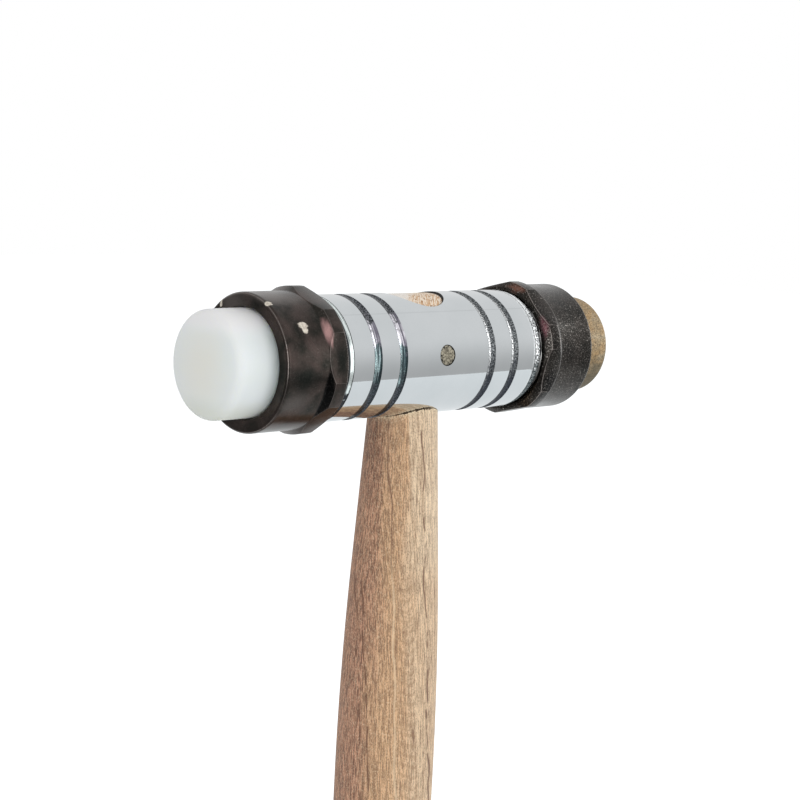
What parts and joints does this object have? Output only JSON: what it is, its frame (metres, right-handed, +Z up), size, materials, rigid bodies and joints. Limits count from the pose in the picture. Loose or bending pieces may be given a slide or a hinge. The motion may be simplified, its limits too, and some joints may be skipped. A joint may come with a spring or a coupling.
{
  "type": "soft face hammer",
  "caption": "Soft face hammer with a chromed barrel head, screw-off collars that clamp a nylon face and a brass face, and a pinned turned beech handle.",
  "frame": {"origin": "middle of the handle's flat butt", "axes": "+Z up the handle towards the head, X along the barrel with the nylon face at -X and the brass face at +X, Y along the cross pin"},
  "size_m": [0.1264, 0.0344, 0.2523],
  "materials": {
    "chrome": "polished",
    "blackened_steel": "oiled black oxide with brown patina",
    "nylon": "milky, smooth",
    "brass": "dull, tarnished",
    "beech": "bare, fine grain"
  },
  "bodies": {
    "head": {"head_barrel": "chrome", "handle": "beech", "cross_pin": "brass"},
    "nylon_face": {"nylon_face": "nylon"},
    "nylon_collar": {"nylon_collar": "blackened_steel"},
    "brass_face": {"brass_face": "brass"},
    "brass_collar": {"brass_collar": "blackened_steel"}
  },
  "joints": [
    {"name": "nylon_face_slide", "type": "slide", "parent": "head", "child": "nylon_face", "axis": [-1, 0, 0], "range_m": [0, 0.008]},
    {"name": "nylon_collar_unscrew", "type": "hinge", "parent": "nylon_face", "child": "nylon_collar", "pos_m": [-0.0333, 0, 0.235], "axis": [-1, 0, 0], "range_deg": [0, 1440]},
    {"name": "brass_face_slide", "type": "slide", "parent": "head", "child": "brass_face", "axis": [1, 0, 0], "range_m": [0, 0.008]},
    {"name": "brass_collar_unscrew", "type": "hinge", "parent": "brass_face", "child": "brass_collar", "pos_m": [0.0333, 0, 0.235], "axis": [1, 0, 0], "range_deg": [0, 1440]}
  ],
  "couplings": [
    {"joint": "nylon_face_slide", "follows": "nylon_collar_unscrew", "m_per_rad": 0.00031831},
    {"joint": "brass_face_slide", "follows": "brass_collar_unscrew", "m_per_rad": 0.00031831}
  ]
}
